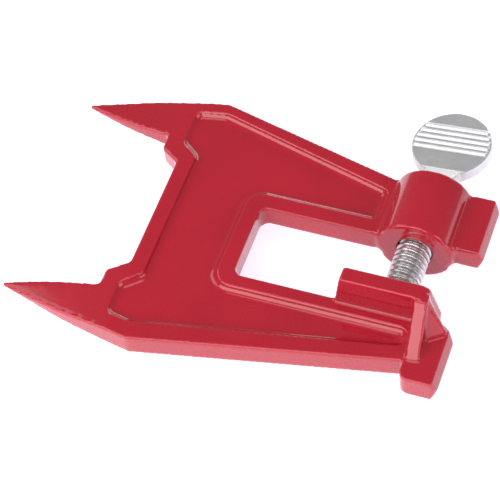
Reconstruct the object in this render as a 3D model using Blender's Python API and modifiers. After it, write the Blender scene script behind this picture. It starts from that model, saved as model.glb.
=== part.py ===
"""Stump vise for holding a chainsaw guide bar while the chain is filed.

A flat cast frame is driven into a stump by its two spikes. The guide bar goes into the
slot, and a thumb screw in the boss presses it against the fixed jaw.

Frame: metres, +Z up. The origin is where the screw's axis meets the fixed jaw's face.
+X points from the spikes to the open mouth, +Y runs along the screw from the jaw to the
thumb disc, and +Z is the normal of the flat frame, which is the same above and below.
"""

import math

import bmesh
import bpy
from mathutils import Matrix

MM = 0.001
GAP = 0.3 * MM

# flat frame
PLATE_T = 9.0 * MM
EDGE_R = 0.6 * MM
CENTRE_Y = 13.1 * MM
CROSSBAR_X = -90.7 * MM
SHOULDER_X = -97.7 * MM
CORNER_X = -80.9 * MM
CORNER_HALF_Y = 52.0 * MM
SLOT_X = -55.2 * MM
SLOT_NEAR_Y = -4.4 * MM
SLOT_FAR_Y = 24.7 * MM
SLOT_R = 3.0 * MM

# spikes, which thin from the taper line to the tip
SPIKE_POINT_X = -133.3 * MM
SPIKE_POINT_HALF_Y = 40.7 * MM
SPIKE_TIP_R = 0.7 * MM
SPIKE_TIP_T = 2.0 * MM
SPIKE_BULGE = 1.0 * MM
SPIKE_CURVE_R = 130.0 * MM
TAPER_X = -89.0 * MM
SPIKE_ROOT_HALF_Y = 33.5 * MM
SHOULDER_HALF_Y = 27.1 * MM
CROSSBAR_HALF_Y = 22.4 * MM

# recess in both faces
RECESS_DEPTH = 2.0 * MM
RECESS_RIM = 5.8 * MM

# boss, with the striking lug beyond it
BOSS_R = 13.4 * MM
BOSS_FRONT_Y = 24.1 * MM
BOSS_BACK_Y = 49.2 * MM
BORE_R = 6.3 * MM
LUG_X = 23.6 * MM
LUG_FRONT_Y = 25.9 * MM
UPPER_ARM_END = (-13.2 * MM, 48.6 * MM)

# fixed jaw, its rib and the end block
JAW_T = 5.5 * MM
JAW_TOP_Z = 17.6 * MM
JAW_LEFT_TOP_X = -16.8 * MM
JAW_LEFT_FOOT_X = -18.8 * MM
JAW_RIGHT_TOP_X = 13.0 * MM
JAW_RIGHT_FOOT_X = 16.8 * MM
RIB_X = 11.1 * MM
RIB_T = 4.3 * MM
RIB_FOOT_Y = -21.6 * MM
RIB_LEAN = math.radians(4.5)
GUSSET_TOE_Y = -14.0 * MM
GUSSET_INSET = 0.6 * MM
GUSSET_CORNER = (21.5 * MM, -8.1 * MM)
BLOCK_LEFT_X = 10.0 * MM
BLOCK_RIGHT_X = 23.1 * MM
BLOCK_FRONT_Y = -28.4 * MM
BLOCK_CHAMFER_X = 18.6 * MM
BLOCK_CHAMFER_Y = -7.7 * MM
LOWER_ARM_END_Y = -21.7 * MM

# clamp screw, pad and thumb disc
SCREW_R = 6.0 * MM
SCREW_CHAMFER = 0.9 * MM
PAD_FACE_Y = 3.0 * MM
PAD_LENGTH = 3.6 * MM
PAD_R = 6.0 * MM
PAD_FLOOR = 1.3 * MM
PIN_R = 3.0 * MM
SCREW_TAIL_Y = 52.3 * MM
TANG_R = 3.2 * MM
TANG_END_Y = 55.6 * MM
HUB_R = 6.6 * MM
HUB_HALF_T = 4.6 * MM
HUB_START_Y = 52.6 * MM
HUB_RAMP_Y = 54.0 * MM
HUB_END_Y = 59.6 * MM
DISC_Y = 70.6 * MM
DISC_R = 14.2 * MM
DISC_T = 4.2 * MM
DISC_TURN = math.radians(-5.5)
GRIP_COUNT = 5
GRIP_PITCH = 2.35 * MM
GRIP_MIDDLE_Y = 73.0 * MM
GRIP_RISE = 0.6 * MM

ROUND = 48


def clear_scene():
    for obj in list(bpy.data.objects):
        bpy.data.objects.remove(obj, do_unlink=True)


def collection(name):
    group = bpy.data.collections.new(name)
    bpy.context.scene.collection.children.link(group)
    return group


def material(name, colour, roughness, metallic):
    made = bpy.data.materials.new(name)
    made.use_nodes = True
    shader = made.node_tree.nodes["Principled BSDF"]
    shader.inputs["Base Color"].default_value = (*colour, 1.0)
    shader.inputs["Roughness"].default_value = roughness
    shader.inputs["Metallic"].default_value = metallic
    made.diffuse_color = (*colour, 1.0)
    return made


def fillet(before, corner, after, radius, steps=5):
    """The points of an arc that rounds one corner of an outline."""
    ax, ay = before[0] - corner[0], before[1] - corner[1]
    bx, by = after[0] - corner[0], after[1] - corner[1]
    la, lb = math.hypot(ax, ay), math.hypot(bx, by)
    ax, ay, bx, by = ax / la, ay / la, bx / lb, by / lb
    half = math.acos(max(-1.0, min(1.0, ax * bx + ay * by))) / 2
    mx, my = ax + bx, ay + by
    length = math.hypot(mx, my)
    mx, my = mx / length, my / length
    centre = (
        corner[0] + mx * radius / math.sin(half),
        corner[1] + my * radius / math.sin(half),
    )
    reach = radius / math.tan(half)
    start = (corner[0] + ax * reach - centre[0], corner[1] + ay * reach - centre[1])
    turn = math.pi - 2 * half
    if ax * by - ay * bx > 0:
        turn = -turn
    points = []
    for i in range(steps + 1):
        a = turn * i / steps
        points.append(
            (
                centre[0] + start[0] * math.cos(a) - start[1] * math.sin(a),
                centre[1] + start[0] * math.sin(a) + start[1] * math.cos(a),
            )
        )
    return points


def rounded(corners):
    """A closed outline from (x, y, radius) corners, each rounded by its radius."""
    points = []
    for i, (x, y, radius) in enumerate(corners):
        if radius == 0:
            points.append((x, y))
            continue
        before = corners[i - 1][:2]
        after = corners[(i + 1) % len(corners)][:2]
        points += fillet(before, (x, y), after, radius)
    return points


def prism(name, outline, half, group, edge=0.0):
    """A mesh slab of a flat outline, half thick each way along its local Z."""
    curve = bpy.data.curves.new(name, "CURVE")
    curve.dimensions = "2D"
    curve.fill_mode = "BOTH"
    curve.extrude = half - edge
    curve.bevel_depth = edge
    curve.bevel_resolution = 1
    curve.offset = -edge
    spline = curve.splines.new("POLY")
    spline.points.add(len(outline) - 1)
    for point, (x, y) in zip(spline.points, outline):
        point.co = (x, y, 0, 1)
    spline.use_cyclic_u = True
    flat = bpy.data.objects.new(name, curve)
    group.objects.link(flat)
    bpy.context.view_layer.update()
    shape = flat.evaluated_get(bpy.context.evaluated_depsgraph_get())
    mesh = bpy.data.meshes.new_from_object(shape)
    bpy.data.objects.remove(flat, do_unlink=True)
    bm = bmesh.new()
    bm.from_mesh(mesh)
    bmesh.ops.remove_doubles(bm, verts=bm.verts, dist=0.005 * MM)
    bmesh.ops.recalc_face_normals(bm, faces=bm.faces)
    bm.to_mesh(mesh)
    bm.free()
    mesh.materials.clear()
    slab = bpy.data.objects.new(name, mesh)
    group.objects.link(slab)
    return slab


def rod(name, radius, start_y, end_y, group, segments=ROUND):
    """A plain cylinder along Y from start_y to end_y, its origin on the screw's axis."""
    bpy.ops.mesh.primitive_cylinder_add(
        vertices=segments,
        radius=radius,
        depth=end_y - start_y,
        location=(0, (start_y + end_y) / 2, 0),
        rotation=(math.pi / 2, 0, 0),
    )
    made = bpy.context.object
    made.name = name
    move_to(made, group)
    return made


def turned(name, profile, group, segments=ROUND):
    """A solid turned about the Y axis from (radius, y) points that run from high y to low."""
    mesh = bpy.data.meshes.new(name)
    bm = bmesh.new()
    verts = [bm.verts.new((radius, 0, y)) for radius, y in profile]
    for a, b in zip(verts, verts[1:]):
        bm.edges.new((a, b))
    bm.to_mesh(mesh)
    bm.free()
    made = bpy.data.objects.new(name, mesh)
    group.objects.link(made)
    made.rotation_euler = (-math.pi / 2, 0, 0)
    spin = made.modifiers.new("turn", "SCREW")
    spin.axis = "Z"
    spin.steps = segments
    spin.render_steps = segments
    spin.use_merge_vertices = True
    spin.merge_threshold = 0.01 * MM
    return made


def move_to(obj, group):
    for owner in list(obj.users_collection):
        owner.objects.unlink(obj)
    group.objects.link(obj)


def combine(target, other, how):
    """Adds a Boolean to target and puts the other shape out of the render."""
    step = target.modifiers.new(f"{how.lower()} {other.name}", "BOOLEAN")
    step.operation = how
    step.object = other
    step.solver = "EXACT"
    other.hide_render = True
    other.display_type = "WIRE"


def finish(obj, look, group):
    move_to(obj, group)
    obj.data.materials.append(look)
    obj.data.shade_smooth()
    obj.data.set_sharp_from_angle(angle=math.radians(35))


def bulged(start, end, bulge):
    """The middle of a spike's side, moved out to the right of the way from start to end."""
    way = (end[0] - start[0], end[1] - start[1])
    length = math.hypot(*way)
    x = (start[0] + end[0]) / 2 + bulge * way[1] / length
    y = (start[1] + end[1]) / 2 - bulge * way[0] / length
    return (x, y, SPIKE_CURVE_R)


def frame_outline():
    """The plan of the cast frame, anticlockwise from the lug's front corner."""
    corner = (CORNER_X, CORNER_HALF_Y)
    point = (SPIKE_POINT_X, SPIKE_POINT_HALF_Y)
    root = (SHOULDER_X, SPIKE_ROOT_HALF_Y)
    spike = [
        bulged(corner, point, SPIKE_BULGE),
        (*point, SPIKE_TIP_R),
        bulged(point, root, SPIKE_BULGE),
        (*root, 1.2 * MM),
        (SHOULDER_X, SHOULDER_HALF_Y, 1.5 * MM),
        (CROSSBAR_X, CROSSBAR_HALF_Y, 2.0 * MM),
    ]
    upper = [(x, CENTRE_Y + y, r) for x, y, r in spike]
    lower = [(x, CENTRE_Y - y, r) for x, y, r in reversed(spike)]
    return rounded(
        [
            (LUG_X, LUG_FRONT_Y, 1.2 * MM),
            (LUG_X, BOSS_BACK_Y, 2.3 * MM),
            (*UPPER_ARM_END, 0),
            (CORNER_X, CENTRE_Y + CORNER_HALF_Y, 4.0 * MM),
            *upper,
            *lower,
            (CORNER_X, CENTRE_Y - CORNER_HALF_Y, 4.0 * MM),
            (BLOCK_LEFT_X, LOWER_ARM_END_Y, 0),
            (BLOCK_LEFT_X, BLOCK_FRONT_Y, 1.2 * MM),
            (BLOCK_RIGHT_X, BLOCK_FRONT_Y, 2.2 * MM),
            (BLOCK_RIGHT_X, BLOCK_CHAMFER_Y, 1.5 * MM),
            (BLOCK_CHAMFER_X, SLOT_NEAR_Y, 1.0 * MM),
            (SLOT_X, SLOT_NEAR_Y, SLOT_R),
            (SLOT_X, SLOT_FAR_Y, SLOT_R),
            (BOSS_R - EDGE_R, SLOT_FAR_Y, 0),
            (BOSS_R - EDGE_R, LUG_FRONT_Y, 0),
        ]
    )


def recess_outline():
    """The plan of the shallow recess, one rim's width inside the frame's outline."""
    left = SHOULDER_X + RECESS_RIM + 0.6 * MM
    inner = CROSSBAR_X + RECESS_RIM
    slot_rim = SLOT_X - RECESS_RIM
    half = CORNER_HALF_Y - RECESS_RIM + 1.2 * MM
    step = SHOULDER_HALF_Y + 4.2 * MM
    return rounded(
        [
            (left, CENTRE_Y + half - 2.0 * MM, 1.5 * MM),
            (left, CENTRE_Y + step, 1.5 * MM),
            (inner, CENTRE_Y + CROSSBAR_HALF_Y + 3.8 * MM, 1.5 * MM),
            (inner, CENTRE_Y - CROSSBAR_HALF_Y - 3.0 * MM, 1.5 * MM),
            (left, CENTRE_Y - step, 1.5 * MM),
            (left, CENTRE_Y - half + 4.2 * MM, 1.5 * MM),
            (CORNER_X - 2.0 * MM, CENTRE_Y - half + 2.4 * MM, 2.5 * MM),
            (7.2 * MM, -15.6 * MM, 1.5 * MM),
            (7.2 * MM, SLOT_NEAR_Y - 5.1 * MM, 1.5 * MM),
            (slot_rim, SLOT_NEAR_Y - 5.1 * MM, 6.0 * MM),
            (slot_rim, SLOT_FAR_Y + RECESS_RIM, 6.0 * MM),
            (-15.6 * MM, SLOT_FAR_Y + RECESS_RIM, 1.5 * MM),
            (-15.6 * MM, 43.2 * MM, 1.5 * MM),
            (CORNER_X + 1.0 * MM, CENTRE_Y + half, 3.0 * MM),
        ]
    )


def jaw_outline():
    """The fixed jaw seen along the screw's axis."""
    half_plate = PLATE_T / 2
    top = [
        (JAW_RIGHT_FOOT_X, half_plate, 0),
        (JAW_RIGHT_TOP_X, JAW_TOP_Z, 2.5 * MM),
        (JAW_LEFT_TOP_X, JAW_TOP_Z, 1.2 * MM),
        (JAW_LEFT_FOOT_X, half_plate, 0),
    ]
    bottom = [(x, -z, r) for x, z, r in reversed(top)]
    return rounded(top + bottom)


def rib_outline():
    """The rib behind the jaw, seen along X."""
    top = [
        (-JAW_T / 2, JAW_TOP_Z - EDGE_R),
        (-JAW_T - 0.8 * MM, JAW_TOP_Z - EDGE_R),
        (RIB_FOOT_Y, PLATE_T / 2 - EDGE_R),
    ]
    bottom = [(y, -z) for y, z in reversed(top)]
    return list(reversed(top + bottom))


def build_gusset(side, group):
    """The sloping wedge in the corner of the jaw's right end and its rib."""
    left = RIB_X
    foot_z = PLATE_T / 2 - 0.5 * MM
    top_z = JAW_TOP_Z - EDGE_R
    back = -JAW_T + 2 * MM
    corners = [
        (left, back, foot_z),
        (JAW_RIGHT_FOOT_X - 0.2 * MM, back, foot_z),
        (BLOCK_CHAMFER_X - GUSSET_INSET, SLOT_NEAR_Y - GUSSET_INSET, foot_z),
        (*GUSSET_CORNER, foot_z),
        (left, GUSSET_TOE_Y, foot_z),
        (RIB_X + RIB_T / 2, GUSSET_TOE_Y, foot_z),
        (left, back, top_z),
        (RIB_X + RIB_T / 2, back, top_z),
        (RIB_X + RIB_T / 2, -JAW_T - 0.5 * MM, top_z),
        (left, -JAW_T - 0.5 * MM, top_z),
    ]
    bm = bmesh.new()
    for x, y, z in corners:
        bm.verts.new((x, y, side * z))
    bmesh.ops.convex_hull(bm, input=bm.verts)
    bmesh.ops.recalc_face_normals(bm, faces=bm.faces)
    name = "gusset_above" if side > 0 else "gusset_below"
    mesh = bpy.data.meshes.new(name)
    bm.to_mesh(mesh)
    bm.free()
    gusset = bpy.data.objects.new(name, mesh)
    group.objects.link(gusset)
    return gusset


def spike_wedges(group):
    """Two blocks whose sloping faces thin the spikes from above and below."""
    length = TAPER_X - SPIKE_POINT_X + 12 * MM
    drop = math.atan2(
        (PLATE_T - SPIKE_TIP_T) / 2, TAPER_X - SPIKE_POINT_X - 3.0 * MM
    )
    wedges = []
    for side in (1, -1):
        bpy.ops.mesh.primitive_cube_add(size=1)
        wedge = bpy.context.object
        wedge.name = "spike_wedge_above" if side > 0 else "spike_wedge_below"
        for vert in wedge.data.vertices:
            x = -length if vert.co.x < 0 else 3 * MM
            y = math.copysign(70 * MM, vert.co.y)
            z = 0.0 if vert.co.z * side < 0 else 20 * MM * side
            vert.co = (x, y, z)
        wedge.location = (TAPER_X, CENTRE_Y, side * PLATE_T / 2)
        wedge.rotation_euler = (0, -drop * side, 0)
        move_to(wedge, group)
        wedges.append(wedge)
    return wedges


def build_casting(paint, parts, cutters):
    casting = prism("cast_frame", frame_outline(), PLATE_T / 2, cutters, EDGE_R)
    boss = rod("boss_shape", BOSS_R, BOSS_FRONT_Y, BOSS_BACK_Y, cutters)
    soften = boss.modifiers.new("edges", "BEVEL")
    soften.width = EDGE_R
    soften.segments = 2
    jaw = prism("jaw_shape", jaw_outline(), JAW_T / 2, cutters, EDGE_R)
    jaw.location = (0, -JAW_T / 2, 0)
    jaw.rotation_euler = (math.pi / 2, 0, 0)
    rib = prism("rib_shape", rib_outline(), RIB_T / 2, cutters)
    rib.location = (RIB_X, 0, 0)
    rib.rotation_euler = (math.pi / 2, 0, math.pi / 2 + RIB_LEAN)
    gussets = [build_gusset(side, cutters) for side in (1, -1)]
    for shape in (boss, jaw, rib, *gussets):
        combine(casting, shape, "UNION")
    for side in (1, -1):
        name = "recess_above" if side > 0 else "recess_below"
        pocket = prism(name, recess_outline(), RECESS_DEPTH, cutters)
        pocket.location = (0, 0, side * PLATE_T / 2)
        combine(casting, pocket, "DIFFERENCE")
    for wedge in spike_wedges(cutters):
        combine(casting, wedge, "DIFFERENCE")
    bore = rod("bore", BORE_R, BOSS_FRONT_Y - 2 * MM, BOSS_BACK_Y + 2 * MM, cutters)
    combine(casting, bore, "DIFFERENCE")
    finish(casting, paint, parts)


def build_screw(steel, parts, axis):
    """The clamp screw, a plain rod at the thread's outer diameter, with its pin and its tang."""
    seat_y = PAD_FACE_Y + PAD_LENGTH + GAP
    pin_y = PAD_FACE_Y + PAD_FLOOR + GAP
    neck_r = SCREW_R - SCREW_CHAMFER
    profile = [
        (0, TANG_END_Y),
        (TANG_R, TANG_END_Y),
        (TANG_R, SCREW_TAIL_Y),
        (neck_r, SCREW_TAIL_Y),
        (SCREW_R, SCREW_TAIL_Y - SCREW_CHAMFER),
        (SCREW_R, seat_y + SCREW_CHAMFER),
        (neck_r, seat_y),
        (PIN_R, seat_y),
        (PIN_R, pin_y),
        (0, pin_y),
    ]
    screw = turned("clamp_screw", profile, parts)
    screw.parent = axis
    finish(screw, steel, parts)


def build_pad(steel, parts, axis):
    """The round pressure pad, with a blind socket for the screw's pin."""
    back_y = PAD_FACE_Y + PAD_LENGTH
    floor_y = PAD_FACE_Y + PAD_FLOOR
    edge = 0.5 * MM
    profile = [
        (0, floor_y),
        (PIN_R + GAP, floor_y),
        (PIN_R + GAP, back_y),
        (PAD_R - edge, back_y),
        (PAD_R, back_y - edge),
        (PAD_R, PAD_FACE_Y + edge),
        (PAD_R - edge, PAD_FACE_Y),
        (0, PAD_FACE_Y),
    ]
    pad = turned("pressure_pad", profile, parts)
    pad.parent = axis
    finish(pad, steel, parts)


def build_hub_shape(cutters):
    """The disc's hub: a round neck that two flat ramps narrow to the disc's faces.

    The ramps run on across the disc's near end, as wide as the disc is there.
    """
    top = [
        (HUB_START_Y, HUB_HALF_T),
        (HUB_RAMP_Y, HUB_HALF_T),
        (HUB_END_Y, DISC_T / 2 - 0.05 * MM),
    ]
    bottom = [(y, -z) for y, z in reversed(top)]
    hub = prism("hub_shape", list(reversed(top + bottom)), DISC_R, cutters)
    hub.rotation_euler = (math.pi / 2, 0, math.pi / 2)
    barrel = rod("hub_barrel", HUB_R, HUB_START_Y - MM, HUB_END_Y + MM, cutters, 32)
    bpy.ops.mesh.primitive_cylinder_add(
        vertices=ROUND, radius=DISC_R - 0.05 * MM, depth=2 * HUB_HALF_T
    )
    near_end = bpy.context.object
    near_end.name = "disc_near_end"
    near_end.data.transform(Matrix.Translation((0, DISC_Y, 0)))
    move_to(near_end, cutters)
    combine(barrel, near_end, "UNION")
    combine(hub, barrel, "INTERSECT")
    return hub


def build_disc(zinc, parts, cutters, axis):
    """The flat thumb disc on its hub, with grip ribs across both faces."""
    bpy.ops.mesh.primitive_cylinder_add(vertices=ROUND, radius=DISC_R, depth=DISC_T)
    disc = bpy.context.object
    disc.name = "thumb_disc"
    disc.data.transform(Matrix.Translation((0, DISC_Y, 0)))
    soften = disc.modifiers.new("rim", "BEVEL")
    soften.width = EDGE_R
    soften.segments = 2
    hub = build_hub_shape(cutters)
    hub.parent = axis
    combine(disc, hub, "UNION")
    first = GRIP_MIDDLE_Y - GRIP_PITCH * (GRIP_COUNT - 1) / 2
    for i in range(GRIP_COUNT):
        y = first + i * GRIP_PITCH
        half_chord = math.sqrt(DISC_R**2 - (y - DISC_Y) ** 2) - 1.2 * MM
        bpy.ops.mesh.primitive_cube_add(size=1)
        grip = bpy.context.object
        grip.name = f"grip_shape_{i + 1}"
        for vert in grip.data.vertices:
            side = math.copysign(1, vert.co.z)
            vert.co.x = math.copysign(half_chord, vert.co.x)
            vert.co.y = y + math.copysign(0.35 * GRIP_PITCH, vert.co.y)
            vert.co.z = side * (DISC_T / 2 + GRIP_RISE)
        move_to(grip, cutters)
        grip.parent = axis
        combine(disc, grip, "UNION")
    socket = rod("hub_bore", TANG_R + GAP, HUB_START_Y - MM, TANG_END_Y + GAP, cutters, 32)
    socket.parent = axis
    combine(disc, socket, "DIFFERENCE")
    disc.parent = axis
    finish(disc, zinc, parts)


def axis_empty(name, parts):
    empty = bpy.data.objects.new(name, None)
    empty.empty_display_size = 0.02
    parts.objects.link(empty)
    return empty


def main():
    clear_scene()
    parts = collection("stump_vise")
    cutters = collection("cutters")
    paint = material("red_paint", (0.55, 0.012, 0.022), 0.22, 0.0)
    steel = material("plated_steel", (0.72, 0.72, 0.74), 0.25, 1.0)
    zinc = material("satin_zinc", (0.60, 0.60, 0.61), 0.38, 1.0)
    build_casting(paint, parts, cutters)
    feed = axis_empty("screw_feed", parts)
    turn = axis_empty("screw_turn", parts)
    turn.parent = feed
    turn.rotation_euler = (0, DISC_TURN, 0)
    build_pad(steel, parts, feed)
    build_screw(steel, parts, turn)
    build_disc(zinc, parts, cutters, turn)
    cutters.hide_render = True


main()
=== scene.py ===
"""The looks of the stump vise: a glossy red casting, a plated thumb screw and its ribbed disc.

The casting, the screw, the pad and the disc replace their plain CAD solids and ride on the
same bodies. Lengths are in metres, in the CAD's frame: +X from the spikes to the open
mouth, +Y along the screw from the fixed jaw to the disc, +Z normal to the flat frame.
"""

import math

import bmesh
import bpy
import numpy as np
from mathutils import Matrix, Vector


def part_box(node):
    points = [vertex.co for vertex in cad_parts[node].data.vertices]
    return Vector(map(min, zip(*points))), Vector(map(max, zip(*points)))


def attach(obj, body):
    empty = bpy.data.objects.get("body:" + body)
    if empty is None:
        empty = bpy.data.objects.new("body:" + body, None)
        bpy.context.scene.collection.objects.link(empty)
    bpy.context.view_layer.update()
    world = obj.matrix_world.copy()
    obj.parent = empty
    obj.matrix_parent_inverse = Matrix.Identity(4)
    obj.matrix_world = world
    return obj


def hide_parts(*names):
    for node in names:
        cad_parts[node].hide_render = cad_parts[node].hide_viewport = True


MM = 0.001

# flat frame
CENTRE_Y = 13.1 * MM
PLATE_T = 9.0 * MM
CROSSBAR_X = -90.7 * MM
SHOULDER_X = -97.7 * MM
CORNER_X = -80.9 * MM
CORNER_HALF_Y = 52.0 * MM
SLOT_X = -55.2 * MM
SLOT_NEAR_Y = -4.4 * MM
SLOT_FAR_Y = 24.7 * MM
SLOT_R = 3.4 * MM
CORNER_R = 4.0 * MM

# spikes and the shoulders between them; half values are from the centre line
SPIKE_POINT_HALF_Y = 40.7 * MM
SPIKE_POINT_REACH = 2.2 * MM
SPIKE_TIP_R = 0.7 * MM
SPIKE_TIP_T = 1.2 * MM
SPIKE_BULGE = 1.1 * MM
SPIKE_CURVE_R = 130.0 * MM
TAPER_X = -89.0 * MM
SPIKE_ROOT_HALF_Y = 33.5 * MM
SHOULDER_HALF_Y = 27.1 * MM
CROSSBAR_HALF_Y = 22.4 * MM

# recess in both faces, whose walls are coves from its rim to its floor
RECESS_DEPTH = 2.2 * MM
RECESS_RIM = 5.8 * MM
COVE_R = 2.6 * MM
RECESS_HALF_Y = 47.4 * MM
RECESS_STEP_HALF_Y = 31.6 * MM
RECESS_NEAR_RIM = 4.9 * MM
RECESS_UPPER_END = (-15.0 * MM, 43.6 * MM)
RECESS_LOWER_END = (8.0 * MM, -16.2 * MM)
RECESS_CORNER_R = 3.2 * MM
RECESS_SLOT_R = 6.0 * MM
RECESS_END_R = 2.6 * MM

# boss and lug
BOSS_R = 13.4 * MM
BOSS_FRONT_Y = 24.1 * MM
BOSS_BACK_Y = 49.2 * MM
BORE_R = 6.2 * MM
LUG_FRONT_Y = 25.9 * MM
LUG_X = 23.6 * MM
SIDE_DRAFT = math.radians(23)
UPPER_ARM_END = (-13.2 * MM, 48.6 * MM)

# fixed jaw, rib and end block
JAW_T = 5.5 * MM
JAW_LEFT_TOP_X = -16.8 * MM
JAW_LEFT_FOOT_X = -18.8 * MM
JAW_RIGHT_TOP_X = 13.0 * MM
JAW_RIGHT_FOOT_X = 16.8 * MM
RIB_X = 11.1 * MM
RIB_T = 4.5 * MM
RIB_FOOT_Y = -21.9 * MM
RIB_LEAN = math.radians(4.5)
GUSSET_TOE_Y = -14.0 * MM
GUSSET_INSET = 0.6 * MM
GUSSET_CORNER = (21.5 * MM, -8.1 * MM)
BLOCK_LEFT_X = 9.8 * MM
BLOCK_RIGHT_X = 23.1 * MM
BLOCK_FRONT_Y = -28.4 * MM
BLOCK_RELIEF = math.radians(14)
RELIEF_GAP = 0.6 * MM
RELIEF_FAR_GAP = 2.8 * MM
BLOCK_CHAMFER_X = 18.6 * MM
BLOCK_CHAMFER_Y = -7.7 * MM
FOOT_DEPTH = 0.5 * MM
LOWER_ARM_END_Y = -21.7 * MM

# cast surface: the remesh's voxel, and how many smoothing passes round its edges
VOXEL = 0.45 * MM
EDGE_PASSES = 10
JUNCTION_PASSES = 45
JUNCTION_REACH = 2.6 * MM
WEIGHT_LEVELS = 20
WELD_DISTANCE = 0.005 * MM

# cutters reach past what they cut, to these places
PAST = 20 * MM
CUT_NEAR_Y = -40 * MM
CUT_HALF_Y = 70 * MM

# thread, pin and tang of the screw
THREAD_PITCH = 2.3 * MM
THREAD_DEPTH = 1.2 * MM
THREAD_RUNOUT = 1.6 * MM
ROWS_PER_TURN = 16
THREAD_SIDES = 96
PIN_R = 3.0 * MM
TANG_R = 3.2 * MM
CLEARANCE = 0.3 * MM
THREAD_SHARP = math.radians(80)

# swivel pad
PAD_FLOOR = 1.3 * MM
PAD_SIDES = 96
PAD_EDGE = 0.5 * MM
PAD_SHARP = math.radians(35)

# thumb disc, turned a little about the screw's axis
DISC_Y = 70.6 * MM
DISC_T = 4.2 * MM
DISC_TURN = math.radians(-5.5)
HUB_R = 6.6 * MM
HUB_HALF_T = 4.6 * MM
HUB_RAMP_LENGTH = 5.6 * MM
HUB_NECK_LENGTH = 1.4 * MM
GRIP_COUNT = 5
GRIP_PITCH = 2.35 * MM
GRIP_MIDDLE_Y = 73.0 * MM
GRIP_RISE = 0.7 * MM
GRIP_HALF_WIDTH = 0.44 * GRIP_PITCH
GRIP_INSET = 0.9 * MM
DISC_VOXEL = 0.22 * MM
DISC_PASSES = 5

# camera, for a square picture
CAMERA_AIM = (-54.15 * MM, 9.23 * MM, 0.0)
CAMERA_AZIMUTH = math.radians(25.83)
CAMERA_ELEVATION = math.radians(54.05)
CAMERA_ROLL = math.radians(-8.03)
CAMERA_DISTANCE = 0.701
CAMERA_LENS = 147.3
CAMERA_SENSOR = 36.0

# colours, linear
PAINT_DEEP = (0.345, 0.0036, 0.0160)
PAINT_LIGHT = (0.390, 0.0048, 0.0200)
# lighter red on sharp edges: paint running thin there, and a painted highlight along the edges
PAINT_THIN_EDGE_AND_HIGHLIGHT = (0.44, 0.011, 0.029)
STEEL_DARK = (0.56, 0.56, 0.57)
STEEL_LIGHT = (0.66, 0.66, 0.67)
ZINC_DARK = (0.62, 0.62, 0.63)
ZINC_LIGHT = (0.69, 0.69, 0.70)
# lighter zinc on the disc's edges and rib crowns: a painted highlight
ZINC_EDGE_HIGHLIGHT = (0.85, 0.85, 0.85)
PAPER_DARK = (0.62, 0.62, 0.62)
PAPER_LIGHT = (0.64, 0.64, 0.64)


# ---------------------------------------------------------------- outlines and solids


def fillet(before, corner, after, radius):
    """The points of an arc that rounds one corner of an outline."""
    here = Vector(corner)
    a = (Vector(before) - here).normalized()
    b = (Vector(after) - here).normalized()
    half = a.angle(b) / 2
    centre = here + (a + b).normalized() * (radius / math.sin(half))
    start = here + a * (radius / math.tan(half)) - centre
    turn = math.copysign(math.pi - 2 * half, b.cross(a))
    steps = 6
    return [
        tuple(centre + Matrix.Rotation(turn * i / steps, 2) @ start) for i in range(steps + 1)
    ]


def rounded(corners):
    """A closed outline from (x, y, radius) corners, each rounded by its radius."""
    points = []
    for i, (x, y, radius) in enumerate(corners):
        if radius == 0:
            points.append((x, y))
            continue
        after = corners[(i + 1) % len(corners)][:2]
        points += fillet(corners[i - 1][:2], (x, y), after, radius)
    return points


def prism(name, outline, half, edge_r=0.0):
    """A mesh slab of a flat outline, half thick each way along its local Z, with round edges."""
    curve = bpy.data.curves.new(name, "CURVE")
    curve.dimensions = "2D"
    curve.fill_mode = "BOTH"
    curve.extrude = half - edge_r
    curve.bevel_depth = edge_r
    curve.bevel_resolution = 4
    curve.offset = -edge_r
    spline = curve.splines.new("POLY")
    spline.points.add(len(outline) - 1)
    for point, (x, y) in zip(spline.points, outline):
        point.co = (x, y, 0, 1)
    spline.use_cyclic_u = True
    flat = bpy.data.objects.new(name, curve)
    bpy.context.scene.collection.objects.link(flat)
    slab = evaluated_copy(flat, name)
    weld(slab.data)
    return slab


def evaluated_copy(obj, name):
    """A new mesh object of obj with its modifiers applied; obj itself is removed."""
    bpy.context.view_layer.update()
    mesh = bpy.data.meshes.new_from_object(obj.evaluated_get(bpy.context.evaluated_depsgraph_get()))
    place = obj.matrix_world.copy()
    bpy.data.objects.remove(obj, do_unlink=True)
    mesh.materials.clear()
    mesh.name = name
    made = bpy.data.objects.new(name, mesh)
    bpy.context.scene.collection.objects.link(made)
    made.matrix_world = place
    return made


def weld(mesh):
    """Joins points that touch and turns every face outwards."""
    bm = bmesh.new()
    bm.from_mesh(mesh)
    bmesh.ops.remove_doubles(bm, verts=bm.verts, dist=WELD_DISTANCE)
    bmesh.ops.recalc_face_normals(bm, faces=bm.faces)
    bm.to_mesh(mesh)
    bm.free()


def rod(name, radius, start_y, end_y):
    """A round bar along the screw's axis."""
    bpy.ops.mesh.primitive_cylinder_add(
        vertices=96,
        radius=radius,
        depth=end_y - start_y,
        location=(0, (start_y + end_y) / 2, 0),
        rotation=(math.pi / 2, 0, 0),
    )
    made = bpy.context.object
    made.name = name
    return made


def combine(target, others, how):
    """target joined with, or cut by, the other shapes; the others are removed."""
    for other in others:
        step = target.modifiers.new(how, "BOOLEAN")
        step.operation = how
        step.object = other
        step.solver = "EXACT"
    made = evaluated_copy(target, target.name)
    for other in others:
        bpy.data.objects.remove(other, do_unlink=True)
    return made


def remesh(obj, voxel):
    """obj as an even mesh of small squares."""
    step = obj.modifiers.new("remesh", "REMESH")
    step.mode = "VOXEL"
    step.voxel_size = voxel
    step.adaptivity = 0.0
    return evaluated_copy(obj, obj.name)


def vertices(obj):
    """The places of obj's vertices, one row each."""
    points = np.empty(len(obj.data.vertices) * 3, dtype=np.float32)
    obj.data.vertices.foreach_get("co", points)
    return points.reshape(-1, 3).astype(float)


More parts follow.
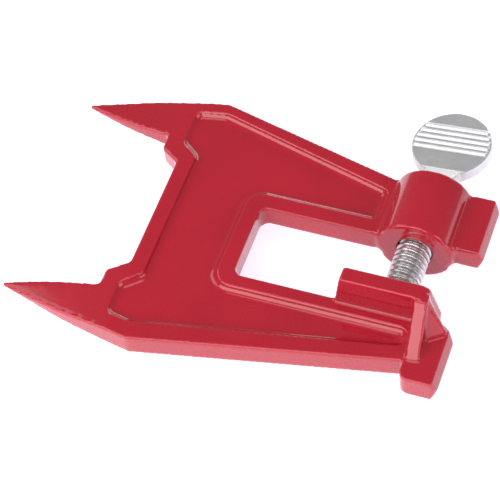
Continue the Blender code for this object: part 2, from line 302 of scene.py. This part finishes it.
def smooth(obj, passes, weights=None):
    """Rounds edges by smoothing, everywhere or by a weight for each vertex."""
    step = obj.modifiers.new("round", "SMOOTH")
    step.factor = 0.5
    step.iterations = passes
    if weights is not None:
        group = obj.vertex_groups.new(name="round")
        levels = np.round(np.clip(weights, 0, 1) * WEIGHT_LEVELS).astype(int)
        for level in range(1, WEIGHT_LEVELS + 1):
            chosen = np.nonzero(levels == level)[0].tolist()
            if chosen:
                group.add(chosen, level / WEIGHT_LEVELS, "REPLACE")
        step.vertex_group = group.name
    return evaluated_copy(obj, obj.name)


# ---------------------------------------------------------------- the casting


def bulged(start, end):
    """The middle of a spike's side, moved out to the right of the way from start to end."""
    way = Vector(end) - Vector(start)
    middle = (Vector(start) + Vector(end)) / 2
    out = Vector((way.y, -way.x)).normalized() * SPIKE_BULGE
    return (*(middle + out), SPIKE_CURVE_R)


def spike_corners(box):
    """The upper spike and its shoulder, as (x, height over the centre line, radius)."""
    corner = (CORNER_X, CORNER_HALF_Y)
    point = (box[0][0] - SPIKE_POINT_REACH, SPIKE_POINT_HALF_Y)
    root = (SHOULDER_X, SPIKE_ROOT_HALF_Y)
    return [
        bulged(corner, point),
        (*point, SPIKE_TIP_R),
        bulged(point, root),
        (*root, 1.6 * MM),
        (SHOULDER_X, SHOULDER_HALF_Y, 1.8 * MM),
        (CROSSBAR_X, CROSSBAR_HALF_Y, 2.2 * MM),
    ]


def frame_outline(box):
    """The plan of the cast frame, anticlockwise from the lug's front corner."""
    upper = [(x, CENTRE_Y + y, r) for x, y, r in spike_corners(box)]
    lower = [(x, CENTRE_Y - y, r) for x, y, r in reversed(spike_corners(box))]
    return rounded(
        [
            (LUG_X, LUG_FRONT_Y, 1.4 * MM),
            (LUG_X, BOSS_BACK_Y, 2.6 * MM),
            (*UPPER_ARM_END, 0),
            (CORNER_X, CENTRE_Y + CORNER_HALF_Y, CORNER_R),
            *upper,
            *lower,
            (CORNER_X, CENTRE_Y - CORNER_HALF_Y, CORNER_R),
            (BLOCK_LEFT_X, LOWER_ARM_END_Y, 0),
            (BLOCK_LEFT_X, BLOCK_FRONT_Y, 3.0 * MM),
            (BLOCK_RIGHT_X, BLOCK_FRONT_Y, 2.6 * MM),
            (BLOCK_RIGHT_X, BLOCK_CHAMFER_Y, 2.0 * MM),
            (BLOCK_CHAMFER_X, SLOT_NEAR_Y, 1.0 * MM),
            (SLOT_X, SLOT_NEAR_Y, SLOT_R),
            (SLOT_X, SLOT_FAR_Y, SLOT_R),
            (BOSS_R, SLOT_FAR_Y, 0),
            (BOSS_R, LUG_FRONT_Y, 0),
        ]
    )


def recess_outline():
    """The rim of the shallow recess, which follows the frame's outline inside it."""
    left = SHOULDER_X + RECESS_RIM + 0.4 * MM
    inner = CROSSBAR_X + RECESS_RIM
    slot_rim = SLOT_X - RECESS_RIM
    near_rim = SLOT_NEAR_Y - RECESS_NEAR_RIM
    far_rim = SLOT_FAR_Y + RECESS_RIM
    half = RECESS_HALF_Y
    step = RECESS_STEP_HALF_Y
    return rounded(
        [
            (left, CENTRE_Y + half - 1.6 * MM, RECESS_CORNER_R),
            (left, CENTRE_Y + step, RECESS_CORNER_R),
            (inner, CENTRE_Y + 26.6 * MM, RECESS_CORNER_R),
            (inner, CENTRE_Y - 26.0 * MM, RECESS_CORNER_R),
            (left, CENTRE_Y - step, RECESS_CORNER_R),
            (left, CENTRE_Y - half + 3.6 * MM, RECESS_CORNER_R),
            (CORNER_X - 2.0 * MM, CENTRE_Y - half + 2.0 * MM, CORNER_R),
            (*RECESS_LOWER_END, RECESS_END_R),
            (RECESS_LOWER_END[0], near_rim, RECESS_END_R),
            (slot_rim, near_rim, RECESS_SLOT_R),
            (slot_rim, far_rim, RECESS_SLOT_R),
            (RECESS_UPPER_END[0], far_rim, RECESS_END_R),
            (*RECESS_UPPER_END, RECESS_END_R),
            (CORNER_X + 1.0 * MM, CENTRE_Y + half + 0.4 * MM, CORNER_R),
        ]
    )


def jaw_shape(top_z):
    """The upright jaw plate, with its slanting right edge."""
    top = [
        (JAW_RIGHT_FOOT_X, PLATE_T / 2, 0),
        (JAW_RIGHT_TOP_X, top_z, 3.0 * MM),
        (JAW_LEFT_TOP_X, top_z, 1.4 * MM),
        (JAW_LEFT_FOOT_X, PLATE_T / 2, 0),
    ]
    bottom = [(x, -z, r) for x, z, r in reversed(top)]
    jaw = prism("jaw", rounded(top + bottom), JAW_T / 2)
    jaw.rotation_euler = (math.pi / 2, 0, 0)
    jaw.location = (0, -JAW_T / 2, 0)
    return jaw


def rib_shape(top_z):
    """The triangular rib that backs the jaw, above and below the arm."""
    top = [
        (-JAW_T / 2, top_z - 0.3 * MM),
        (-JAW_T - 1.0 * MM, top_z - 0.3 * MM),
        (RIB_FOOT_Y, PLATE_T / 2 - FOOT_DEPTH),
    ]
    bottom = [(y, -z) for y, z in reversed(top)]
    rib = prism("rib", list(reversed(top + bottom)), RIB_T / 2)
    rib.location = (RIB_X, 0, 0)
    rib.rotation_euler = (math.pi / 2, 0, math.pi / 2 + RIB_LEAN)
    return rib


def gusset_shape(side, top_z):
    """The sloping wedge in the corner of the jaw's right end and its rib."""
    left, right = RIB_X, RIB_X + RIB_T / 2
    foot_z = PLATE_T / 2 - FOOT_DEPTH
    crest_z = top_z - 0.6 * MM
    back = -JAW_T + 2 * MM
    corners = [
        (left, back, foot_z),
        (JAW_RIGHT_FOOT_X - 0.2 * MM, back, foot_z),
        (BLOCK_CHAMFER_X - GUSSET_INSET, SLOT_NEAR_Y - GUSSET_INSET, foot_z),
        (*GUSSET_CORNER, foot_z),
        (left, GUSSET_TOE_Y, foot_z),
        (right, GUSSET_TOE_Y, foot_z),
        (left, back, crest_z),
        (right, back, crest_z),
        (right, -JAW_T - 0.5 * MM, crest_z),
        (left, -JAW_T - 0.5 * MM, crest_z),
    ]
    bm = bmesh.new()
    for x, y, z in corners:
        bm.verts.new((x, y, side * z))
    bmesh.ops.convex_hull(bm, input=bm.verts)
    bmesh.ops.recalc_face_normals(bm, faces=bm.faces)
    return mesh_object("gusset", bm)


def mesh_object(name, bm):
    """A new object made of the bmesh, which is freed."""
    mesh = bpy.data.meshes.new(name)
    bm.to_mesh(mesh)
    bm.free()
    made = bpy.data.objects.new(name, mesh)
    bpy.context.scene.collection.objects.link(made)
    return made


def cut_block(low, high):
    """A block between two corners, to be turned and cut away."""
    bpy.ops.mesh.primitive_cube_add(size=1)
    block = bpy.context.object
    for vert in block.data.vertices:
        vert.co = [high[i] if vert.co[i] > 0 else low[i] for i in range(3)]
    return block


def block_relief():
    """A wedge that slopes the end block's left side in towards the underside."""
    wedge = cut_block((-10 * MM, CUT_NEAR_Y, -PAST), (0, LOWER_ARM_END_Y - RELIEF_GAP, PAST))
    for vert in wedge.data.vertices:
        if vert.co.x < 0 and vert.co.y > BLOCK_FRONT_Y:
            vert.co.y = LOWER_ARM_END_Y - RELIEF_FAR_GAP
    wedge.location = (BLOCK_LEFT_X, 0, PLATE_T / 2)
    wedge.rotation_euler = (0, BLOCK_RELIEF, 0)
    return wedge


def draft_wedge(side, face_x, start_y, end_y):
    """A block that leans an end face back from the middle of its thickness."""
    low_z, high_z = sorted((-0.2 * MM * side, 10 * MM * side))
    wedge = cut_block((0, start_y, low_z), (10 * MM, end_y, high_z))
    wedge.location = (face_x, 0, 0)
    wedge.rotation_euler = (0, -SIDE_DRAFT * side, 0)
    return wedge


def spike_wedge(side, tip_x):
    """A block whose sloping face thins both spikes from one side."""
    reach = TAPER_X - tip_x
    drop = math.atan2((PLATE_T - SPIKE_TIP_T) / 2, reach)
    low_z, high_z = sorted((0.0, PAST * side))
    wedge = cut_block((-reach - PAST, -CUT_HALF_Y, low_z), (3 * MM, CUT_HALF_Y, high_z))
    wedge.location = (TAPER_X, CENTRE_Y, side * PLATE_T / 2)
    wedge.rotation_euler = (0, -drop * side, 0)
    return wedge


def recess_cutter(side):
    """The recess above or below, with the cove in its wall."""
    half = 3.0 * MM
    cutter = prism("recess", recess_outline(), half, COVE_R)
    cutter.location = (0, 0, side * (PLATE_T / 2 - RECESS_DEPTH + half))
    return cutter


def junction_weights(points):
    """1 where the boss meets the arm and the lug, fading out round it."""
    radial = np.hypot(points[:, 0], points[:, 2])
    from_boss = np.abs(radial - BOSS_R)
    from_plate = np.abs(np.abs(points[:, 2]) - PLATE_T / 2)
    near = 1 - np.maximum(from_boss, from_plate) / JUNCTION_REACH
    inside = (points[:, 1] > BOSS_FRONT_Y - MM) & (points[:, 1] < BOSS_BACK_Y - 1.5 * MM)
    return np.where(inside, np.clip(near * 1.6, 0, 1), 0)


def build_casting(paint):
    """The one-piece frame: its solids joined, cut, remeshed and smoothed as a casting."""
    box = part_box("cast_frame")
    top_z = box[1][2]
    casting = prism("casting", frame_outline(box), PLATE_T / 2)
    boss = rod("boss", BOSS_R, BOSS_FRONT_Y, BOSS_BACK_Y)
    added = [boss, jaw_shape(top_z), rib_shape(top_z), gusset_shape(1, top_z)]
    casting = combine(casting, [*added, gusset_shape(-1, top_z)], "UNION")
    tip_x = box[0][0]
    cutters = [recess_cutter(1), recess_cutter(-1)]
    cutters += [spike_wedge(1, tip_x), spike_wedge(-1, tip_x)]
    cutters.append(rod("bore", BORE_R, BOSS_FRONT_Y - 2 * MM, BOSS_BACK_Y + 2 * MM))
    cutters.append(block_relief())
    for side in (1, -1):
        cutters.append(draft_wedge(side, LUG_X, CENTRE_Y, BOSS_BACK_Y + 5 * MM))
        cutters.append(draft_wedge(side, BLOCK_RIGHT_X, CUT_NEAR_Y, CENTRE_Y))
    casting = combine(casting, cutters, "DIFFERENCE")
    casting = remesh(casting, VOXEL)
    casting = smooth(casting, EDGE_PASSES)
    weights = junction_weights(vertices(casting))
    casting = smooth(casting, JUNCTION_PASSES, weights)
    casting.data.shade_smooth()
    casting.data.materials.append(paint)
    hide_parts("cast_frame")
    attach(casting, "frame")


# ---------------------------------------------------------------- screw, pad and disc


def thread_height(phase):
    """The thread's height, 0 to 1, over one pitch: a round root and a narrow flat crest."""
    wave = 0.5 + 0.5 * math.cos(2 * math.pi * phase)
    return min(1.0, 1.45 * wave) ** 0.8


def screw_rows(seat_y, pin_y, tail_y, tang_y, thread_r):
    """The screw's rings as (y, radius, how much thread is cut into it)."""
    root = thread_r - THREAD_DEPTH
    rows = [
        (pin_y, 0.05 * MM, 0),
        (pin_y, PIN_R - 0.3 * MM, 0),
        (pin_y + 0.3 * MM, PIN_R, 0),
        (seat_y, PIN_R, 0),
        (seat_y, root - 0.4 * MM, 0),
    ]
    count = round((tail_y - seat_y) / THREAD_PITCH * ROWS_PER_TURN)
    for i in range(1, count):
        y = seat_y + (tail_y - seat_y) * i / count
        from_end = min(y - seat_y, tail_y - y)
        rows.append((y, root, min(1.0, from_end / THREAD_RUNOUT)))
    rows += [
        (tail_y, root - 0.4 * MM, 0),
        (tail_y, TANG_R, 0),
        (tang_y, TANG_R, 0),
        (tang_y, 0.05 * MM, 0),
    ]
    return rows


def build_screw(steel):
    """The clamp screw with its thread, which winds left-handed, as a grid of rings."""
    low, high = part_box("clamp_screw")
    pad_back_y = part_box("pressure_pad")[1][1]
    hub_start_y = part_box("thumb_disc")[0][1]
    rows = screw_rows(pad_back_y + CLEARANCE, low[1], hub_start_y - CLEARANCE, high[1], high[0])
    bm = bmesh.new()
    rings = []
    for y, radius, cut in rows:
        ring = []
        for side in range(THREAD_SIDES):
            turn = side / THREAD_SIDES
            height = THREAD_DEPTH * cut * thread_height((y / THREAD_PITCH + turn) % 1.0)
            angle = 2 * math.pi * turn
            r = radius + height
            ring.append(bm.verts.new((r * math.sin(angle), y, r * math.cos(angle))))
        rings.append(ring)
    for a, b in zip(rings, rings[1:]):
        for i in range(THREAD_SIDES):
            j = (i + 1) % THREAD_SIDES
            bm.faces.new((a[i], a[j], b[j], b[i]))
    bm.faces.new(rings[0])
    bm.faces.new(rings[-1])
    bmesh.ops.recalc_face_normals(bm, faces=bm.faces)
    screw = mesh_object("threaded_screw", bm)
    screw.data.shade_smooth()
    screw.data.set_sharp_from_angle(angle=THREAD_SHARP)
    screw.data.materials.append(steel)
    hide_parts("clamp_screw")
    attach(screw, "thumb_screw")


def build_pad(steel):
    """The swivel pad, a turned cup with rounded edges."""
    low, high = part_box("pressure_pad")
    pad_r = high[0]
    front, back = low[1], high[1]
    socket_r = PIN_R + CLEARANCE
    profile = [
        (0, front + PAD_FLOOR),
        (socket_r, front + PAD_FLOOR),
        (socket_r, back),
        (pad_r, back),
        (pad_r, front),
        (0, front),
    ]
    bm = bmesh.new()
    verts = [bm.verts.new((r, 0, y)) for r, y in profile]
    edges = [bm.edges.new(pair) for pair in zip(verts, verts[1:])]
    bmesh.ops.spin(
        bm,
        geom=verts + edges,
        axis=(0, 0, 1),
        cent=(0, 0, 0),
        steps=PAD_SIDES,
        angle=2 * math.pi,
    )
    bmesh.ops.remove_doubles(bm, verts=bm.verts, dist=WELD_DISTANCE)
    bmesh.ops.recalc_face_normals(bm, faces=bm.faces)
    bmesh.ops.transform(bm, matrix=Matrix.Rotation(-math.pi / 2, 4, "X"), verts=bm.verts)
    pad = mesh_object("swivel_pad", bm)
    bevel = pad.modifiers.new("edges", "BEVEL")
    bevel.width = PAD_EDGE
    bevel.segments = 4
    bevel.angle_limit = math.radians(40)
    pad = evaluated_copy(pad, "swivel_pad")
    pad.data.shade_smooth()
    pad.data.set_sharp_from_angle(angle=PAD_SHARP)
    pad.data.materials.append(steel)
    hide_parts("pressure_pad")
    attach(pad, "pad")


def disc_shape(radius, depth):
    """A round slab at the thumb disc's place."""
    bpy.ops.mesh.primitive_cylinder_add(vertices=128, radius=radius, depth=depth)
    disc = bpy.context.object
    disc.data.transform(Matrix.Translation((0, DISC_Y, 0)))
    return disc


def hub_shape(start_y, disc_r):
    """The disc's hub: a round neck that two flat ramps narrow to the disc's faces.

    The ramps run on across the disc's near end, as wide as the disc is there.
    """
    ramp_y = start_y + HUB_NECK_LENGTH
    top = [
        (start_y, HUB_HALF_T),
        (ramp_y, HUB_HALF_T),
        (ramp_y + HUB_RAMP_LENGTH, DISC_T / 2 - 0.1 * MM),
    ]
    bottom = [(y, -z) for y, z in reversed(top)]
    hub = prism("hub", list(reversed(top + bottom)), disc_r)
    hub.rotation_euler = (math.pi / 2, 0, math.pi / 2)
    barrel = rod("barrel", HUB_R, start_y - MM, ramp_y + HUB_RAMP_LENGTH + MM)
    barrel = combine(barrel, [disc_shape(disc_r - 0.05 * MM, 2 * HUB_HALF_T)], "UNION")
    return combine(hub, [barrel], "INTERSECT")


def grip_bar(y, disc_r):
    """One grip rib across both faces: a bar with a roof-shaped top on each side."""
    half_chord = math.sqrt(disc_r**2 - (y - DISC_Y) ** 2) - GRIP_INSET
    half_t = DISC_T / 2
    steps = 8
    crown = []
    for i in range(steps + 1):
        a = math.pi * i / steps
        across = math.cos(a)
        crown.append((y + GRIP_HALF_WIDTH * across, half_t + GRIP_RISE * (1 - abs(across))))
    outline = crown + [(py, -pz) for py, pz in reversed(crown)]
    bar = prism("grip", outline, half_chord)
    bar.rotation_euler = (math.pi / 2, 0, math.pi / 2)
    return bar


def build_disc(zinc):
    """The thumb disc, with rounded edges, its hub and five ribs on each face."""
    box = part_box("thumb_disc")
    disc_r = box[1][1] - DISC_Y
    disc = disc_shape(disc_r, DISC_T)
    disc.name = "ribbed_disc"
    first = GRIP_MIDDLE_Y - GRIP_PITCH * (GRIP_COUNT - 1) / 2
    grips = [grip_bar(first + i * GRIP_PITCH, disc_r) for i in range(GRIP_COUNT)]
    disc = combine(disc, [hub_shape(box[0][1], disc_r), *grips], "UNION")
    tang_end_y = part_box("clamp_screw")[1][1]
    socket = rod("socket", TANG_R + CLEARANCE, box[0][1] - MM, tang_end_y + CLEARANCE)
    disc = combine(disc, [socket], "DIFFERENCE")
    disc = remesh(disc, DISC_VOXEL)
    disc = smooth(disc, DISC_PASSES)
    disc.data.transform(Matrix.Rotation(DISC_TURN, 4, "Y"))
    disc.data.shade_smooth()
    disc.data.materials.append(zinc)
    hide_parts("thumb_disc")
    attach(disc, "thumb_screw")


# ---------------------------------------------------------------- materials


class Look:
    """A material's node tree, with short calls that add nodes and links."""

    def __init__(self, name):
        self.material = bpy.data.materials.new(name)
        self.material.use_nodes = True
        self.tree = self.material.node_tree
        self.shader = self.tree.nodes["Principled BSDF"]
        self.place = self.node("ShaderNodeTexCoord").outputs["Object"]

    def node(self, kind, **values):
        """A new node of a kind, with its settings."""
        made = self.tree.nodes.new(kind)
        for key, value in values.items():
            setattr(made, key, value)
        return made

    def link(self, source, target):
        self.tree.links.new(source, target)

    def noise(self, scale, detail, stretch=(1, 1, 1)):
        """Smooth noise fixed to the piece; a larger scale is finer, detail adds octaves."""
        mapping = self.node("ShaderNodeMapping")
        mapping.inputs["Scale"].default_value = stretch
        self.link(self.place, mapping.inputs["Vector"])
        texture = self.node("ShaderNodeTexNoise")
        texture.inputs["Scale"].default_value = scale
        texture.inputs["Detail"].default_value = detail
        texture.inputs["Roughness"].default_value = 0.5
        self.link(mapping.outputs["Vector"], texture.inputs["Vector"])
        return texture.outputs[0]

    def spread(self, value, low, high, source=(0.3, 0.7)):
        """value mapped from a source range to low..high."""
        change = self.node("ShaderNodeMapRange")
        change.inputs["From Min"].default_value = source[0]
        change.inputs["From Max"].default_value = source[1]
        change.inputs["To Min"].default_value = low
        change.inputs["To Max"].default_value = high
        self.link(value, change.inputs["Value"])
        return change.outputs["Result"]

    def mix(self, factor, first, second):
        """A colour between two colours, each a tuple or another node's output."""
        blend = self.node("ShaderNodeMix", data_type="RGBA")
        self.link(factor, blend.inputs["Factor"])
        for socket, colour in (("A", first), ("B", second)):
            target = [s for s in blend.inputs if s.name == socket and s.type == "RGBA"][0]
            if isinstance(colour, tuple):
                target.default_value = (*colour, 1.0)
            else:
                self.link(colour, target)
        return [s for s in blend.outputs if s.type == "RGBA"][0]

    def bump(self, height, distance, under=None):
        """A surface relief of a height, in metres, on top of another relief if one is given."""
        step = self.node("ShaderNodeBump")
        step.inputs["Strength"].default_value = 1.0
        step.inputs["Distance"].default_value = distance
        self.link(height, step.inputs["Height"])
        if under is not None:
            self.link(under, step.inputs["Normal"])
        return step.outputs["Normal"]

    def edges(self):
        """0 on flat faces and 1 on the sharpest outer edges."""
        point = self.node("ShaderNodeNewGeometry").outputs["Pointiness"]
        return self.spread(point, 0.0, 1.0, (0.505, 0.56))


def red_paint():
    """Gloss red paint: clear coat over a red that runs thin on sharp edges and is lighter there,
    partly as a painted highlight.
    """
    look = Look("gloss_red_paint")
    flow = look.noise(45.0, 3.0)
    colour = look.mix(look.spread(flow, 0.0, 1.0), PAINT_DEEP, PAINT_LIGHT)
    # sharp edges lightened: thin paint plus a painted highlight
    colour = look.mix(look.edges(), colour, PAINT_THIN_EDGE_AND_HIGHLIGHT)
    look.link(colour, look.shader.inputs["Base Color"])
    fine = look.noise(900.0, 2.0)
    look.link(look.spread(fine, 0.24, 0.34), look.shader.inputs["Roughness"])
    skin = look.bump(look.noise(140.0, 2.0), 0.02 * MM)
    orange_peel = look.bump(look.noise(650.0, 1.0), 0.002 * MM, under=skin)
    look.link(orange_peel, look.shader.inputs["Normal"])
    look.link(skin, look.shader.inputs["Coat Normal"])
    look.shader.inputs["Coat Weight"].default_value = 1.0
    look.shader.inputs["Coat Roughness"].default_value = 0.06
    look.shader.inputs["Coat IOR"].default_value = 1.5
    look.shader.inputs["Specular IOR Level"].default_value = 0.1
    return look.material


def plated_steel():
    """Bright plated steel, a little drawn out round the thread."""
    look = Look("bright_plated_steel")
    cloud = look.noise(220.0, 3.0)
    colour = look.mix(look.spread(cloud, 0.0, 1.0), STEEL_DARK, STEEL_LIGHT)
    look.link(colour, look.shader.inputs["Base Color"])
    look.shader.inputs["Metallic"].default_value = 1.0
    rolled = look.noise(1500.0, 3.0, stretch=(1, 0.15, 1))
    look.link(look.spread(rolled, 0.22, 0.38), look.shader.inputs["Roughness"])
    look.link(look.bump(rolled, 0.006 * MM), look.shader.inputs["Normal"])
    return look.material


def satin_zinc():
    """Satin zinc plate with a fine grain across the disc, and a painted highlight that lightens its
    edges.
    """
    look = Look("satin_zinc")
    cloud = look.noise(160.0, 4.0)
    colour = look.mix(look.spread(cloud, 0.0, 1.0), ZINC_DARK, ZINC_LIGHT)
    # edges and rib crowns lightened: a painted highlight
    colour = look.mix(look.edges(), colour, ZINC_EDGE_HIGHLIGHT)
    look.link(colour, look.shader.inputs["Base Color"])
    look.shader.inputs["Metallic"].default_value = 1.0
    grain = look.noise(2200.0, 3.0, stretch=(0.25, 1, 1))
    look.link(look.spread(grain, 0.38, 0.52), look.shader.inputs["Roughness"])
    look.link(look.bump(grain, 0.008 * MM), look.shader.inputs["Normal"])
    return look.material


# ---------------------------------------------------------------- floor, light and camera


def white_floor():
    """A light table: white paper, lit a little from below."""
    look = Look("light_table")
    fibre = look.noise(300.0, 2.0)
    colour = look.mix(look.spread(fibre, 0.0, 1.0), PAPER_DARK, PAPER_LIGHT)
    look.link(colour, look.shader.inputs["Base Color"])
    look.shader.inputs["Roughness"].default_value = 0.9
    look.shader.inputs["Specular IOR Level"].default_value = 0.1
    look.shader.inputs["Emission Color"].default_value = (0.96, 0.90, 1.06, 1.0)
    look.shader.inputs["Emission Strength"].default_value = 0.82
    bpy.ops.mesh.primitive_plane_add(size=6.0)
    floor = bpy.context.object
    floor.name = "floor"
    floor.location = (CAMERA_AIM[0], CAMERA_AIM[1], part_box("cast_frame")[0][2])
    floor.data.materials.append(look.material)


def softbox(name, azimuth, elevation, distance, size, radiance):
    """A rectangular area light, azimuth from -Y towards +X, which faces the object."""
    lamp = bpy.data.lights.new(name, "AREA")
    lamp.shape = "RECTANGLE"
    lamp.size, lamp.size_y = size
    lamp.energy = 4 * size[0] * size[1] * radiance
    holder = bpy.data.objects.new(name, lamp)
    bpy.context.scene.collection.objects.link(holder)
    az, el = math.radians(azimuth), math.radians(elevation)
    away = Vector((math.sin(az) * math.cos(el), -math.cos(az) * math.cos(el), math.sin(el)))
    holder.location = Vector(CAMERA_AIM) + away * distance
    holder.rotation_euler = away.to_track_quat("Z", "Y").to_euler()


def studio_light():
    """An even grey-white world and five plain softboxes."""
    world = bpy.data.worlds.new("studio")
    world.use_nodes = True
    back = world.node_tree.nodes["Background"]
    back.inputs["Color"].default_value = (1.0, 1.0, 1.0, 1.0)
    back.inputs["Strength"].default_value = 0.36
    bpy.context.scene.world = world
    softbox("front_softbox", -18, 37, 0.9, (1.3, 0.68), 2.8)
    softbox("right_softbox", 80, 25, 1.0, (0.8, 0.35), 2.0)
    softbox("left_softbox", -100, 40, 1.1, (0.8, 0.5), 1.5)
    softbox("back_softbox", 170, 14, 1.2, (1.2, 0.35), 2.5)
    softbox("top_softbox", 20, 84, 1.2, (0.7, 0.6), 1.5)
    bpy.context.scene.view_settings.view_transform = "Standard"


def place_camera():
    """The camera, turned a little about its own view."""
    az, el = CAMERA_AZIMUTH, CAMERA_ELEVATION
    back = Vector((math.sin(az) * math.cos(el), -math.cos(az) * math.cos(el), math.sin(el)))
    right = Vector((math.cos(az), math.sin(az), 0))
    up = back.cross(right)
    tilted_right = right * math.cos(CAMERA_ROLL) + up * math.sin(CAMERA_ROLL)
    tilted_up = up * math.cos(CAMERA_ROLL) - right * math.sin(CAMERA_ROLL)
    data = bpy.data.cameras.new("camera")
    data.lens = CAMERA_LENS
    data.sensor_width = CAMERA_SENSOR
    camera = bpy.data.objects.new("camera", data)
    bpy.context.scene.collection.objects.link(camera)
    turn = Matrix((tilted_right, tilted_up, back)).transposed().to_4x4()
    place = Vector(CAMERA_AIM) + back * CAMERA_DISTANCE
    camera.matrix_world = Matrix.Translation(place) @ turn
    bpy.context.scene.camera = camera


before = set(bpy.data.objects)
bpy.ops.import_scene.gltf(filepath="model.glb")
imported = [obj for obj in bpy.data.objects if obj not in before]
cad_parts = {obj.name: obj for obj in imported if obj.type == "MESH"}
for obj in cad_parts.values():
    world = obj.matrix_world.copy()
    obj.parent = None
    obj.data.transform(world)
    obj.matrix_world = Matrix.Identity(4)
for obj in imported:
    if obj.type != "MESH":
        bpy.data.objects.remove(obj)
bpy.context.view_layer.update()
steel = plated_steel()
build_casting(red_paint())
build_screw(steel)
build_pad(steel)
build_disc(satin_zinc())
white_floor()
studio_light()
place_camera()
